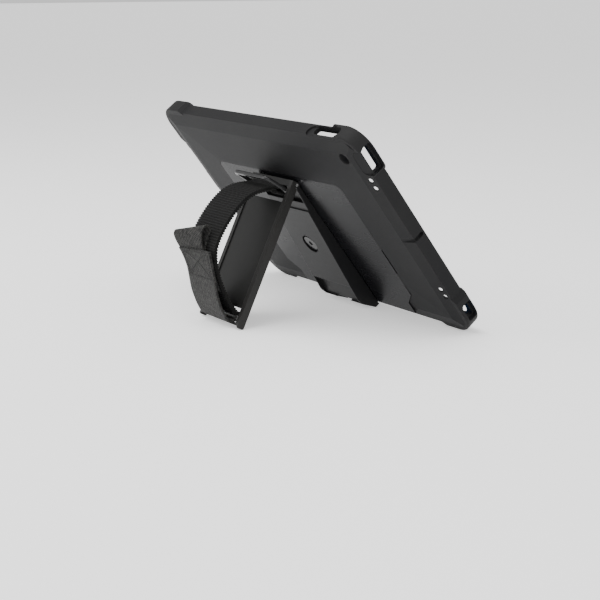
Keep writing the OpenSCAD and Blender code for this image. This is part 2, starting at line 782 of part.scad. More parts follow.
// A loop of fabric round a strap pin
module pin_loop(y, thick) {
    translate([0, y, pin_z]) rotate([0, 90, 0])
        difference() {
            cylinder(r = strap_pin_r + thick, h = strap_w, center = true);
            cylinder(r = strap_pin_r + 0.05, h = strap_w + past, center = true);
        }
}

module strap_elastic() {
    color([0.1, 0.1, 0.1]) on_kickstand() {
        difference() {
            arch_band(-1, 0.9, -elastic_t / 2, elastic_t / 2, strap_w);
            translate([0, top_pin_y, pin_z]) rotate([0, 90, 0])
                cylinder(r = strap_pin_r + 0.05, h = strap_w + past, center = true);
        }
        pin_loop(top_pin_y, webbing_t);
    }
}

module hook_patch() {
    color([0.2, 0.2, 0.2]) on_kickstand()
        arch_band(0.32, 0.86, elastic_t / 2 + 0.02, webbing_in - 0.03, strap_w - 6, 20);
}

module strap_webbing() {
    color([0.17, 0.17, 0.17]) on_kickstand() {
        difference() {
            arch_band(0.3, 0.995, webbing_in, webbing_in + webbing_t, strap_w, 30);
            translate([0, foot_pin_y, pin_z]) rotate([0, 90, 0])
                cylinder(r = strap_pin_r + 0.05, h = strap_w + past, center = true);
        }
        pin_loop(foot_pin_y, webbing_t);
    }
}

// The folded end of the webbing, as a wedge that stands off the band between the webbing's end
// and the arch's middle
module pull_tab() {
    roots = [for (u = arch_steps(tab_from, tab_to, 8)) arch_point(u, elastic_t / 2 + 0.02)];
    tips = [arch_point(tab_to - 0.08, tab_out - 3), tab_tip];
    color([0.17, 0.17, 0.17]) on_kickstand()
        rotate([90, 0, 90]) linear_extrude(strap_w, center = true)
            polygon([for (p = concat(roots, tips)) [-p[0], -p[1]]]);
}

module strap_ring() {
    arm = ring_reach - ring_t / 2;
    color([0.08, 0.08, 0.08]) on_kickstand() translate([0, top_pin_y, pin_z]) rotate([-ring_lift, 0, 0]) {
        for (s = [-1, 1])
            difference() {
                union() {
                    translate([s * (ring_hw + ring_t / 2), 0, 0]) rotate([0, 90, 0])
                        cylinder(r = ring_eye_r, h = ring_t, center = true);
                    translate([s * (ring_hw + ring_t / 2), 0, -arm / 2])
                        cube([ring_t, ring_t, arm], center = true);
                }
                rotate([0, 90, 0])
                    cylinder(r = strap_pin_r + run_gap, h = 2 * slot_hw + 2 * past, center = true);
            }
        translate([0, 0, -arm]) cube([2 * (ring_hw + ring_t), ring_t, ring_t], center = true);
    }
}

// ---------------------------------------------------------------- what is drawn

bumper_shell();
back_panel();
inner_plate();
info_label();
shock_pad(JACK);  // shock_pad_jack
shock_pad(POWER);  // shock_pad_power
shock_pad(BASE_LOW);  // shock_pad_base_low
shock_pad(BASE_HIGH);  // shock_pad_base_high
corner_pad(JACK);  // corner_pad_jack
corner_pad(POWER);  // corner_pad_power
corner_pad(BASE_LOW);  // corner_pad_base_low
corner_pad(BASE_HIGH);  // corner_pad_base_high
plate_screws();
hub_nut();
hub_screw();
hub_washer();
swivel_base();
kickstand_plate();
hinge_pin();
strap_pin_top();
strap_pin_bottom();
strap_ring();
strap_elastic();
hook_patch();
strap_webbing();
pull_tab();
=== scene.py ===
# A rugged tablet case standing on its kickstand, seen from behind, in metres. The exact parts come
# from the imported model; this script adds the camera, the soft strap, the ring and every finish.
import json
import math

import bmesh
import bpy
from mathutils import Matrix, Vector


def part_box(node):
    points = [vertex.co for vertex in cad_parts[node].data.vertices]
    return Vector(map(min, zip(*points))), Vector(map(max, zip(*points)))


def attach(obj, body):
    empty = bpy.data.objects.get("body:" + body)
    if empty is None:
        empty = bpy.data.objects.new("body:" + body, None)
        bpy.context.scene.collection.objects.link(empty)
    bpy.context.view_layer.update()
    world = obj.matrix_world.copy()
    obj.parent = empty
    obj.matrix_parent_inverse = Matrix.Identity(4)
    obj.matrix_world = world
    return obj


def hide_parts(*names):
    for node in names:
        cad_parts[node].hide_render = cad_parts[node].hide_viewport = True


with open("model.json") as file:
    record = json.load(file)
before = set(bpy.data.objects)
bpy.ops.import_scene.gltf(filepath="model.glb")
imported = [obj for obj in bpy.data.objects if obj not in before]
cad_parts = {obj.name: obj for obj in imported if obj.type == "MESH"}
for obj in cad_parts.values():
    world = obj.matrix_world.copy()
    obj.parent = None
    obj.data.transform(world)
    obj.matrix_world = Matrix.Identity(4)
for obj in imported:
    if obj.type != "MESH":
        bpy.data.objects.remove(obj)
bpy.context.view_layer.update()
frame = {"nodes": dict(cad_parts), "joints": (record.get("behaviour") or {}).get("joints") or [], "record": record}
mm = 0.001


# ---- Camera -------------------------------------------------------------------------------
# The case leans back on its kickstand. Its square direction comes from the swivel's axis, which stands square on
# the back panel; the direction along the case is the model's x, along which the kickstand's hinge runs.
joints = {j["name"]: j for j in frame["joints"]}
hub = Vector(joints["swivel_turn"]["pos_m"])
screen_way = Vector(joints["swivel_turn"]["axis"]).normalized()
along_case = Vector((1, 0, 0))
up_case = screen_way.cross(along_case)


def middle(node):
    low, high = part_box(node)
    return (Vector(low) + Vector(high)) / 2


panel_drop = (middle("info_label") - hub).dot(up_case)
case_middle = hub + panel_drop * up_case
case_lean = math.atan2(-screen_way.y, screen_way.z)


def on_case(x, up, depth):
    """A point by its place along the case, up the case, and towards the screen from the back face."""
    return case_middle + x * along_case + up * up_case + depth * screen_way


rim_depth = 14.7 * mm
camera_offset = Vector((-873.8, 601.9, 172.9)) * mm
camera_turn = math.radians(236.2)
camera_drop = math.radians(13.2)
camera = bpy.data.objects.new("camera", bpy.data.cameras.new("camera"))
bpy.context.collection.objects.link(camera)
camera.location = on_case(0, 0, rim_depth) + camera_offset
looking = Vector((-math.sin(camera_turn) * math.cos(camera_drop),
                  math.cos(camera_turn) * math.cos(camera_drop),
                  -math.sin(camera_drop)))
camera.rotation_euler = looking.to_track_quat("-Z", "Y").to_euler()
camera.data.lens = 82.8
camera.data.clip_end = 50
bpy.context.scene.camera = camera


# ---- Bumper shell -------------------------------------------------------------------------
# One moulding of tough rubbery plastic: floor, walls, lip and corner bumpers. Its mould is finely
# spark-eroded, so the surface is matt with a fine grain, and the corners are rubbed a little.
class Wire:
    """One output of a shader node. The finishes below are written as maths on such wires."""
    def __init__(self, tree, socket):
        self.tree = tree
        self.socket = socket

    def math(self, operation, *values):
        node = self.tree.nodes.new("ShaderNodeMath")
        node.operation = operation
        for socket, value in zip(node.inputs, values):
            plug(self.tree, socket, value)
        return Wire(self.tree, node.outputs[0])

    def __add__(self, other):
        return self.math("ADD", self, other)

    def __radd__(self, other):
        return self.math("ADD", other, self)

    def __sub__(self, other):
        return self.math("SUBTRACT", self, other)

    def __rsub__(self, other):
        return self.math("SUBTRACT", other, self)

    def __mul__(self, other):
        return self.math("MULTIPLY", self, other)

    def __rmul__(self, other):
        return self.math("MULTIPLY", other, self)

    def __truediv__(self, other):
        return self.math("DIVIDE", self, other)

    def __gt__(self, other):
        return self.math("GREATER_THAN", self, other)

    def __lt__(self, other):
        return self.math("LESS_THAN", self, other)

    def __abs__(self):
        return self.math("ABSOLUTE", self)

    def sine(self):
        return self.math("SINE", self)

    def fraction(self):
        return self.math("FRACT", self)

    def power(self, other):
        return self.math("POWER", self, other)

    def at_least(self, other):
        return self.math("MAXIMUM", self, other)

    def at_most(self, other):
        return self.math("MINIMUM", self, other)


def plug(tree, socket, value):
    """Links a wire to a socket, or sets the socket to a plain value."""
    if isinstance(value, Wire):
        tree.links.new(value.socket, socket)
    else:
        socket.default_value = value


def add_node(tree, kind, settings, inputs, output=0):
    """Adds a node, sets or links its inputs, and gives back the output that is asked for."""
    node = tree.nodes.new(kind)
    for key, value in settings.items():
        setattr(node, key, value)
    for key, value in inputs.items():
        plug(tree, node.inputs[key], value)
    return Wire(tree, node.outputs[output]) if node.outputs else None


class Finish:
    """A material in the making."""
    def __init__(self, name):
        self.material = bpy.data.materials.new(name)
        self.material.use_nodes = True
        self.tree = self.material.node_tree
        self.tree.nodes.clear()
        self.coordinates = self.node("ShaderNodeTexCoord", {}, {}, "Object")

    def node(self, kind, settings, inputs, output=0):
        return add_node(self.tree, kind, settings, inputs, output)

    def case_coordinates(self):
        """Coordinates that lie along the case, up the case and towards the screen."""
        turned = self.node("ShaderNodeMapping", {"vector_type": "TEXTURE"},
                           {"Vector": self.coordinates, "Location": case_middle,
                            "Rotation": (case_lean, 0, 0)})
        return self.split(turned)

    def split(self, vector):
        first = self.node("ShaderNodeSeparateXYZ", {}, {"Vector": vector})
        return [Wire(self.tree, socket) for socket in first.socket.node.outputs]

    def noise(self, size, detail=2.0, rough=0.5, where=None, stretch=None):
        """Noise from 0 to 1 with blobs of this size in metres, stretched along the axes if wished."""
        where = where or self.coordinates
        if stretch:
            where = self.node("ShaderNodeMapping", {}, {"Vector": where, "Scale": stretch})
        return self.node("ShaderNodeTexNoise", {},
                         {"Vector": where, "Scale": 1 / size, "Detail": detail, "Roughness": rough})

    def mix(self, share, a, b):
        """Two colours mixed. The node has sockets for every kind of data; these are its colour ones."""
        from_colour, to_colour, mixed_colour = 6, 7, 2
        a, b = (colour if isinstance(colour, Wire) else (*colour, 1) for colour in (a, b))
        return self.node("ShaderNodeMix", {"data_type": "RGBA"},
                         {"Factor": share, from_colour: a, to_colour: b}, mixed_colour)

    def bump(self, height, depth, normal=None):
        inputs = {"Height": height, "Distance": depth, "Strength": 1.0}
        if normal:
            inputs["Normal"] = normal
        return self.node("ShaderNodeBump", {}, inputs)

    def soft_edges(self, radius):
        """Light that catches on edges as if they were rounded by this radius."""
        return self.node("ShaderNodeBevel", {"samples": 6}, {"Radius": radius})

    def done(self, **sockets):
        """Ends the finish in a shader whose sockets are given by name, and gives the material."""
        inputs = {}
        for key, value in sockets.items():
            plain_colour = key.endswith("Color") and not isinstance(value, Wire)
            inputs[key.replace("_", " ")] = (*value, 1) if plain_colour else value
        shader = self.node("ShaderNodeBsdfPrincipled", {}, inputs)
        self.node("ShaderNodeOutputMaterial", {}, {"Surface": shader})
        return self.material


def give(node, material):
    """A CAD node keeps its shape and gets this finish."""
    node = frame["nodes"][node]
    if not node.material_slots:
        node.data.materials.append(material)
    for slot in node.material_slots:
        slot.link = "OBJECT"
        slot.material = material


rubber = Finish("moulded_rubber")
grain = rubber.noise(0.55 * mm, 3, 0.6)
cloud = rubber.noise(38 * mm, 3)
flow = rubber.noise(160 * mm, 1, stretch=(0.4, 1, 1))
across, height, depth = rubber.case_coordinates()
corner_nearness = (abs(across) / 0.132) * (abs(height) / 0.092)
rubbed = (corner_nearness.power(9.0) * cloud).at_most(1.0)
rubber_colour = rubber.mix(cloud, (0.011, 0.011, 0.012), (0.018, 0.018, 0.018))
rubber_colour = rubber.mix(rubbed * 0.5, rubber_colour, (0.036, 0.035, 0.034))
bumper_material = rubber.done(
    Base_Color=rubber_colour,
    Roughness=0.44 + grain * 0.12 + flow * 0.08 - rubbed * 0.06,
    Normal=rubber.bump(grain, 0.05 * mm, rubber.soft_edges(0.6 * mm)),
    Specular_IOR_Level=0.08)
give("bumper_shell", bumper_material)


# ---- Back panel ---------------------------------------------------------------------------
# A glossy black plate, injection moulded and screwed on from inside. It has faint wipe marks.
gloss = Finish("glossy_panel")
wipes = gloss.noise(14 * mm, 1, 0.5, stretch=(0.25, 1, 1))
haze = gloss.noise(60 * mm, 2)
panel_material = gloss.done(
    Base_Color=gloss.mix(haze, (0.006, 0.006, 0.007), (0.010, 0.010, 0.011)),
    Roughness=0.22 + wipes * 0.05 + haze * 0.06,
    Normal=gloss.bump(haze, 0.02 * mm),
    Specular_IOR_Level=0.08)
give("back_panel", panel_material)


# ---- Inner plate and its label ------------------------------------------------------------
# The plate inside clamps the shell's floor against the back panel. It is matt with a fine grain and
# carries a printed label, here left without any words: a black sticker with pale fields.
plate = Finish("inner_plate_plastic")
plate_grain = plate.noise(0.4 * mm, 2, 0.6)
plate_cloud = plate.noise(45 * mm, 2)
plate_material = plate.done(
    Base_Color=plate.mix(plate_cloud, (0.007, 0.007, 0.008), (0.013, 0.013, 0.013)),
    Specular_IOR_Level=0.3,
    Roughness=0.38 + plate_grain * 0.14,
    Normal=plate.bump(plate_grain, 0.03 * mm, plate.soft_edges(0.5 * mm)))
give("inner_plate", plate_material)

label = Finish("printed_label")
label_x, label_y, _ = label.case_coordinates()


def field(left, right, low, high):
    """1 inside a rectangle of the label, in millimetres from its middle."""
    inside_x = (label_x > left * mm) * (label_x < right * mm)
    return inside_x * (label_y > low * mm) * (label_y < high * mm)


main_field = field(-18, 26, -13, 13)
side_fields = field(-25, -21, -24, -6) + field(-25, -21, 8, 24)
edge_fields = field(-16, 0, -25, -17) + field(6, 26, 17, 25) + field(-16, -2, 17, 25)
white = (main_field + side_fields + edge_fields).at_most(1.0)
rule_pitch = 2.6 * mm
rule_gap = 0.72
rules = ((label_y / rule_pitch).fraction() > rule_gap) * field(-15, 22, -11, 11)
print_wear = label.noise(1.1 * mm, 2)
label_ink = label.mix(white, (0.02, 0.02, 0.021), (0.86, 0.86, 0.84))
label_ink = label.mix(rules * (print_wear > 0.40) * 0.55, label_ink, (0.10, 0.10, 0.10))
give("info_label", label.done(Base_Color=label_ink, Roughness=0.32 + print_wear * 0.15,
                              Normal=label.bump(white, 0.02 * mm)))


# ---- Steel ----------------------------------------------------------------------------------
# Nut, washer, pins and the plate's screws are turned or stamped bright steel, with fine marks along
# the turning. The hub's screw is blackened.
steel = Finish("bright_steel")
turned = steel.noise(0.5 * mm, 3, 0.7, stretch=(6, 0.6, 0.6))
tarnish = steel.noise(7 * mm, 3)
steel_material = steel.done(
    Base_Color=steel.mix(tarnish, (0.62, 0.62, 0.63), (0.78, 0.78, 0.77)),
    Metallic=1.0,
    Roughness=0.20 + turned * 0.16,
    Normal=steel.bump(turned, 0.01 * mm, steel.soft_edges(0.15 * mm)))
for steel_node in ("plate_screws", "hub_nut", "hub_washer", "hinge_pin", "strap_pin_top",
                   "strap_pin_bottom"):
    give(steel_node, steel_material)

black_steel = Finish("blackened_steel")
black_marks = black_steel.noise(1.2 * mm, 3, 0.7)
black_steel_material = black_steel.done(
    Base_Color=black_steel.mix(black_marks, (0.012, 0.012, 0.013), (0.03, 0.03, 0.03)),
    Specular_IOR_Level=0.25,
    Roughness=0.18 + black_marks * 0.14,
    Normal=black_steel.bump(black_marks, 0.01 * mm, black_steel.soft_edges(0.3 * mm)))
give("hub_screw", black_steel_material)


# ---- Blue pads ------------------------------------------------------------------------------
# Four pads of soft blue rubber cushion the tablet's back, and four more line the corners. They are
# moulded with rounded edges, so each is softened all round.
blue = Finish("blue_rubber")
blue_grain = blue.noise(0.5 * mm, 2, 0.6)
blue_cloud = blue.noise(12 * mm, 2)
blue_material = blue.done(
    Base_Color=blue.mix(blue_cloud, (0.060, 0.29, 0.74), (0.085, 0.35, 0.82)),
    Roughness=0.36 + blue_grain * 0.16,
    Normal=blue.bump(blue_grain, 0.03 * mm),
    Subsurface_Weight=0.06,
    Subsurface_Radius=(0.002, 0.004, 0.006))


def cad_copy(node, name):
    """A closed copy of a CAD node's mesh, its flat faces made whole again."""
    mesh = frame["nodes"][node].data.copy()
    mesh.name = name
    work = bmesh.new()
    work.from_mesh(mesh)
    bmesh.ops.remove_doubles(work, verts=work.verts, dist=0.004 * mm)
    bmesh.ops.dissolve_limit(work, angle_limit=math.radians(1.0), verts=work.verts, edges=work.edges)
    work.to_mesh(mesh)
    work.free()
    mesh.materials.clear()
    copy = bpy.data.objects.new(name, mesh)
    bpy.context.collection.objects.link(copy)
    return copy


def baked(thing):
    """Turns an object's live modifiers into its mesh."""
    bpy.context.view_layer.update()
    evaluated = thing.evaluated_get(bpy.context.evaluated_depsgraph_get())
    mesh = bpy.data.meshes.new_from_object(evaluated)
    thing.modifiers.clear()
    thing.data = mesh
    return thing


def rounded(thing, radius, steps=2):
    """Rounds a thing's edges by this radius."""
    bevel = thing.modifiers.new("rounded", "BEVEL")
    bevel.width = radius
    bevel.segments = steps
    bevel.limit_method = "ANGLE"
    bevel.angle_limit = math.radians(30)
    bevel.harden_normals = False
    return baked(thing)


def shade_smooth(thing, angle=35):
    """Shades a thing smoothly, apart from edges sharper than this angle in degrees."""
    for face in thing.data.polygons:
        face.use_smooth = True
    thing.data.set_sharp_from_angle(angle=math.radians(angle))


def ring_the_top(thing, width):
    """Sets a ring of faces inside a pad's flat top, so that the rounded edge's shading ends there."""
    work = bmesh.new()
    work.from_mesh(thing.data)
    top = [face for face in work.faces if face.normal.dot(screen_way) > 0.99
           and (face.calc_center_median() - case_middle).dot(screen_way) > pad_top - 0.1 * mm]
    bmesh.ops.inset_region(work, faces=top, thickness=width)
    work.to_mesh(thing.data)
    work.free()


pad_top = (Vector(frame["record"]["mounts"][0]["pos_m"]) - case_middle).dot(screen_way)
pad_ring = 1.2 * mm
for corner in ("jack", "power", "base_low", "base_high"):
    shock = rounded(cad_copy("shock_pad_" + corner, "pad_" + corner), 0.5 * mm, 3)
    ring_the_top(shock, pad_ring)
    liner = rounded(cad_copy("corner_pad_" + corner, "corner_" + corner), 0.35 * mm)
    for pad, node in ((shock, "shock_pad_" + corner), (liner, "corner_pad_" + corner)):
        pad.data.materials.clear()
        pad.data.materials.append(blue_material)
        shade_smooth(pad)
        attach(pad, "case")
        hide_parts(node)


# ---- Swivel base ----------------------------------------------------------------------------
# A wedge-shaped block of satin black plastic that turns on the panel and carries the hinge.
base = Finish("satin_plastic")
base_grain = base.noise(0.5 * mm, 2, 0.6)
base_cloud = base.noise(55 * mm, 2)
base_scuff = base.noise(3 * mm, 4, 0.7, stretch=(0.3, 1, 1))
base_material = base.done(
    Base_Color=base.mix(base_cloud, (0.009, 0.009, 0.010), (0.015, 0.015, 0.015)),
    Specular_IOR_Level=0.11,
    Roughness=0.27 + base_grain * 0.08 + base_scuff * 0.08,
    Normal=base.bump(base_grain, 0.02 * mm, base.soft_edges(0.6 * mm)))
give("swivel_base", base_material)


# ---- Kickstand ------------------------------------------------------------------------------
# A flanged plate with a raised rim, painted satin black, hinged at its head and with a slot at each end for the
# strap. Its rim and flanges carry a painted highlight in their colour.
paint = Finish("kickstand_paint")
paint_peel = paint.noise(0.9 * mm, 2, 0.5)
paint_cloud = paint.noise(70 * mm, 2)
scuff_and_highlight_streaks = paint.noise(2.5 * mm, 5, 0.75, stretch=(1, 0.3, 0.3))
paint_x, _, _ = paint.split(paint.coordinates)
rim_from = 24.1 * mm
# Painted highlight: beyond rim_from, the rim and flanges are lightened where light would catch them, broken into
# streaks by the scuff noise.
rim_painted_highlight = (abs(paint_x) > rim_from) * (0.4 + scuff_and_highlight_streaks * 0.6)
paint_colour = paint.mix(paint_cloud, (0.010, 0.010, 0.010), (0.017, 0.017, 0.016))
paint_material = paint.done(
    Base_Color=paint.mix(rim_painted_highlight, paint_colour, (0.024, 0.0235, 0.0225)),
    Specular_IOR_Level=0.14,
    Roughness=0.30 + scuff_and_highlight_streaks * 0.12,
    Normal=paint.bump(paint_peel, 0.02 * mm, paint.soft_edges(0.5 * mm)))
give("kickstand_plate", paint_material)


# ---- Strap ring -----------------------------------------------------------------------------
# A rectangular loop of blackened steel rod on the top strap pin, through which the band runs.
hinge = Vector(joints["kickstand_fold"]["pos_m"])
top_pin = middle("strap_pin_top")
foot_pin = middle("strap_pin_bottom")
down_kick = (foot_pin - top_pin).normalized()
out_kick = along_case.cross(down_kick)
pin_down = (top_pin - hinge).dot(down_kick)
pin_out = (top_pin - hinge).dot(out_kick)
foot_pin_down = (foot_pin - hinge).dot(down_kick)


def on_kickstand(x, down, out):
    """A point by its place across the kickstand, down from its hinge and out from it."""
    return hinge + x * along_case + down * down_kick + out * out_kick


def bent_rod(name, path, profile, square_way):
    """A closed rod bent along a flat path: profile gives its points as (sideways, square to the path)."""
    work = bmesh.new()
    rings = []
    for i, place in enumerate(path):
        ahead = (path[(i + 1) % len(path)] - path[i - 1]).normalized()
        side = square_way.cross(ahead).normalized()
        rings.append([work.verts.new(place + a * side + b * square_way) for a, b in profile])
    for here, there in zip(rings, rings[1:] + rings[:1]):
        for k in range(len(profile)):
            j = (k + 1) % len(profile)
            work.faces.new((here[k], here[j], there[j], there[k]))
    bmesh.ops.recalc_face_normals(work, faces=work.faces)
    mesh = bpy.data.meshes.new(name)
    work.to_mesh(mesh)
    work.free()
    thing = bpy.data.objects.new(name, mesh)
    bpy.context.collection.objects.link(thing)
    return thing


ring_low, ring_high = (Vector(c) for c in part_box("strap_ring"))
ring_half = (ring_high.x - ring_low.x) / 2
ring_rod = 3.2 * mm
ring_tilt = math.radians(6)
ring_out = out_kick * math.cos(ring_tilt) - down_kick * math.sin(ring_tilt)
ring_normal = ring_out.cross(along_case)
ring_reach = 20.4 * mm
ring_corner = 3.2 * mm
corner_steps = 8
rod_points = 20
rod_squareness = 0.7
ring_path = []
ring_x = ring_half - ring_rod / 2
for quarter, (cx, co) in enumerate(((1, 1), (-1, 1), (-1, -1), (1, -1))):
    far = ring_reach if co > 0 else 0
    mid = Vector((cx * (ring_x - ring_corner), far - co * ring_corner, 0))
    for i in range(corner_steps + 1):
        angle = math.pi / 2 * (quarter + i / corner_steps)
        ring_path.append(top_pin + (mid.x + ring_corner * math.cos(angle)) * along_case
                         + (mid.y + ring_corner * math.sin(angle)) * ring_out)
rod_profile = []
for k in range(rod_points):
    x, y = math.cos(2 * math.pi * k / rod_points), math.sin(2 * math.pi * k / rod_points)
    rod_profile.append((ring_rod / 2 * math.copysign(abs(x) ** rod_squareness, x),
                        ring_rod / 2 * math.copysign(abs(y) ** rod_squareness, y)))
ring = bent_rod("strap_loop_ring", ring_path, rod_profile, ring_normal)
ring.data.materials.append(black_steel_material)
shade_smooth(ring, 60)
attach(ring, "kickstand")
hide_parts("strap_ring")


# ---- Elastic band ---------------------------------------------------------------------------
# A woven elastic band with a rib at every pick. It starts in a loop round the top pin, arches over
# the hand, and runs under the webbing down to the foot pin.
def smooth_path(points, per_span=10):
    """A smooth curve through points given as (down, out) in millimetres."""
    ends = [tuple(2 * a - b for a, b in zip(points[0], points[1])), *points,
            tuple(2 * a - b for a, b in zip(points[-1], points[-2]))]
    path = []
    for p0, p1, p2, p3 in zip(ends, ends[1:], ends[2:], ends[3:]):
        for i in range(per_span):
            t = i / per_span
            path.append(tuple(
                0.5 * (2 * b + (c - a) * t + (2 * a - 5 * b + 4 * c - d) * t ** 2
                       + (3 * b - a - 3 * c + d) * t ** 3)
                for a, b, c, d in zip(p0, p1, p2, p3)))
    path.append(points[-1])
    return path


def ribbon(name, near, far, width, thick, columns=14, shift=0.0):
    """A flat band whose two edges follow two curves, with rounded edges and a map in millimetres."""
    slim = thick / width
    edge = [-0.5, -0.5 + 0.08 * slim, -0.5 + 0.3 * slim]
    inner = [-0.5 + 0.6 * slim + (1 - 1.2 * slim) * i / columns for i in range(columns + 1)]
    shares = edge + inner + [-e for e in reversed(edge)]
    rows = []
    for a, b in zip(near, far):
        rows.append([on_kickstand(shift + s * width, *(((0.5 - s) * p + (0.5 + s) * q) * mm
                                               for p, q in zip(a, b))) for s in shares])
    count = len(rows)
    run, length = [0.0], 0.0
    for i in range(1, count):
        length += (rows[i][len(shares) // 2] - rows[i - 1][len(shares) // 2]).length
        run.append(length / mm)
    work = bmesh.new()
    skins = {1: [], -1: []}
    for i, row in enumerate(rows):
        for face in (1, -1):
            line = []
            for j, place in enumerate(row):
                ahead = (rows[min(i + 1, count - 1)][j] - rows[max(i - 1, 0)][j]).normalized()
                across_band = (row[min(j + 1, len(row) - 1)] - row[max(j - 1, 0)]).normalized()
                up = across_band.cross(ahead)
                from_edge = min(0.5 - abs(shares[j]), slim / 2) / (slim / 2)
                rise = thick / 2 * math.sqrt(max(1 - (1 - from_edge) ** 2, 0.0))
                line.append(work.verts.new(place + face * rise * up))
            skins[face].append(line)
    uv = work.loops.layers.uv.new("UVMap")

    def panel(corners, places):
        made = work.faces.new(corners)
        for loop, (i, j) in zip(made.loops, places):
            loop[uv].uv = (shares[j] * width / mm, run[i])

    for face in (1, -1):
        for i in range(count - 1):
            for j in range(len(shares) - 1):
                places = [(i, j), (i, j + 1), (i + 1, j + 1), (i + 1, j)]
                panel([skins[face][a][b] for a, b in places], places)
    for i in (0, count - 1):
        for j in range(len(shares) - 1):
            places = [(i, j), (i, j + 1), (i, j + 1), (i, j)]
            panel([skins[1][i][j], skins[1][i][j + 1], skins[-1][i][j + 1], skins[-1][i][j]], places)
    bmesh.ops.remove_doubles(work, verts=work.verts, dist=0.0005 * mm)
    bmesh.ops.recalc_face_normals(work, faces=work.faces)
    mesh = bpy.data.meshes.new(name)
    work.to_mesh(mesh)
    work.free()
    thing = bpy.data.objects.new(name, mesh)
    bpy.context.collection.objects.link(thing)
    shade_smooth(thing, 60)
    return thing


strap_width = 39 * mm
band_thick = 2.0 * mm
pin_d, pin_o = pin_down / mm, pin_out / mm
wrap = 1.5 + band_thick / mm / 2 + 0.15
top_loop = [(pin_d + 3.4, pin_o + 5.5), (pin_d + wrap, pin_o + 0.5), (pin_d, pin_o - wrap),
            (pin_d - wrap, pin_o), (pin_d - 1.6, pin_o + 3.6)]
band_points = top_loop + [(8.6, 12.5), (14, 22.0), (20, 28.6), (28, 33.6), (39, 37.6), (52, 40.2),
                          (64, 40.6), (73, 37.6), (81, 32.4), (88, 26.0), (95, 18.4), (101, 9.6),
                          (104.4, 3.4), (104.6, 0.4)]
band_path = smooth_path(band_points)
fabric_black = Finish("ribbed_elastic")
band_uv = fabric_black.node("ShaderNodeUVMap", {"uv_map": "UVMap"}, {})
band_u, band_v, _ = fabric_black.split(band_uv)
yarn_pitch = 0.8
pick_pitch = 1.75
yarns = (band_u * (2 * math.pi / yarn_pitch)).sine() * (band_v * (2 * math.pi / pick_pitch)).sine()
fuzz = fabric_black.noise(0.35 * mm, 3, 0.7)
fade = fabric_black.noise(16 * mm, 2)
elastic_material = fabric_black.done(
    Base_Color=fabric_black.mix(fuzz * 0.7 + fade * 0.3, (0.002, 0.002, 0.002), (0.011, 0.011, 0.0105)),
    Specular_IOR_Level=0.08,
    Roughness=0.80 + fuzz * 0.15,
    Normal=fabric_black.bump(yarns * 0.5 + fuzz * 0.8, 0.12 * mm),
    Sheen_Weight=0.06,
    Sheen_Roughness=0.5)
band = ribbon("elastic_band", band_path, band_path, strap_width, band_thick)
band.data.materials.append(elastic_material)
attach(band, "kickstand")
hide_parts("strap_elastic")


def new_tree(name, sizes):
    """A geometry tree that takes a curve and these named sizes."""
    tree = bpy.data.node_groups.new(name, "GeometryNodeTree")
    tree.interface.new_socket("Geometry", in_out="INPUT", socket_type="NodeSocketGeometry")
    names = {}
    for key in sizes:
        socket = tree.interface.new_socket(key, in_out="INPUT", socket_type="NodeSocketFloat")
        names[key] = socket.identifier
    tree.interface.new_socket("Geometry", in_out="OUTPUT", socket_type="NodeSocketGeometry")
    return tree, names


def repeated(name, lines, sizes, material, shape, follow_lines):
    """Curves along which a geometry tree sets one small shape again and again, as one mesh."""
    curve = bpy.data.curves.new(name, "CURVE")
    curve.dimensions = "3D"
    for line in lines:
        spline = curve.splines.new("POLY")
        spline.points.add(len(line) - 1)
        for point, place in zip(spline.points, line):
            point.co = (*place, 1)
    holder = bpy.data.objects.new(name, curve)
    bpy.context.collection.objects.link(holder)
    tree, names = new_tree(name, sizes)
    line_in = add_node(tree, "NodeGroupInput", {}, {}, "Geometry")
    size = {key: Wire(tree, line_in.socket.node.outputs[key]) for key in sizes}
    spots = add_node(tree, "GeometryNodeCurveToPoints", {"mode": "LENGTH"},
                     {"Curve": line_in, "Length": size["Pitch"]}, "Points")
    placing = {"Points": spots, "Instance": shape(tree, size)}
    if follow_lines:
        placing["Rotation"] = Wire(tree, spots.socket.node.outputs["Rotation"])
    placed = add_node(tree, "GeometryNodeInstanceOnPoints", {}, placing)
    solid = add_node(tree, "GeometryNodeRealizeInstances", {}, {"Geometry": placed})
    finished = add_node(tree, "GeometryNodeSetMaterial", {}, {"Geometry": solid, "Material": material})
    add_node(tree, "NodeGroupOutput", {}, {"Geometry": finished})
    modifier = holder.modifiers.new("repeat", "NODES")
    modifier.node_group = tree
    for key, value in sizes.items():
        modifier[names[key]] = value
    bpy.context.view_layer.update()
    evaluated = holder.evaluated_get(bpy.context.evaluated_depsgraph_get())
    mesh = bpy.data.meshes.new_from_object(evaluated)
    bpy.data.objects.remove(holder)
    mesh.name = name
    thing = bpy.data.objects.new(name, mesh)
    bpy.context.collection.objects.link(thing)
    thing.data.materials.clear()
    thing.data.materials.append(material)
    shade_smooth(thing, 60)
    return thing


def rib_shape(tree, size):
    """A rib is a rod that lies across the band."""
    rod = add_node(tree, "GeometryNodeMeshCylinder", {},
                   {"Vertices": 10, "Radius": size["Rib radius"], "Depth": size["Rib length"]}, "Mesh")
    return add_node(tree, "GeometryNodeTransform", {}, {"Geometry": rod, "Rotation": (0, math.pi / 2, 0)})


rib_radius = 0.78 * mm
rib_pitch = 2.1 * mm


def offset_path(path, distance):
    """The path moved sideways by a distance in millimetres, outwards if it is positive."""
    moved = []
    for i, (d, o) in enumerate(path):
        (d0, o0), (d1, o1) = path[max(i - 1, 0)], path[min(i + 1, len(path) - 1)]
        size = math.hypot(d1 - d0, o1 - o0) or 1.0
        moved.append((d - (o1 - o0) / size * distance, o + (d1 - d0) / size * distance))
    return moved


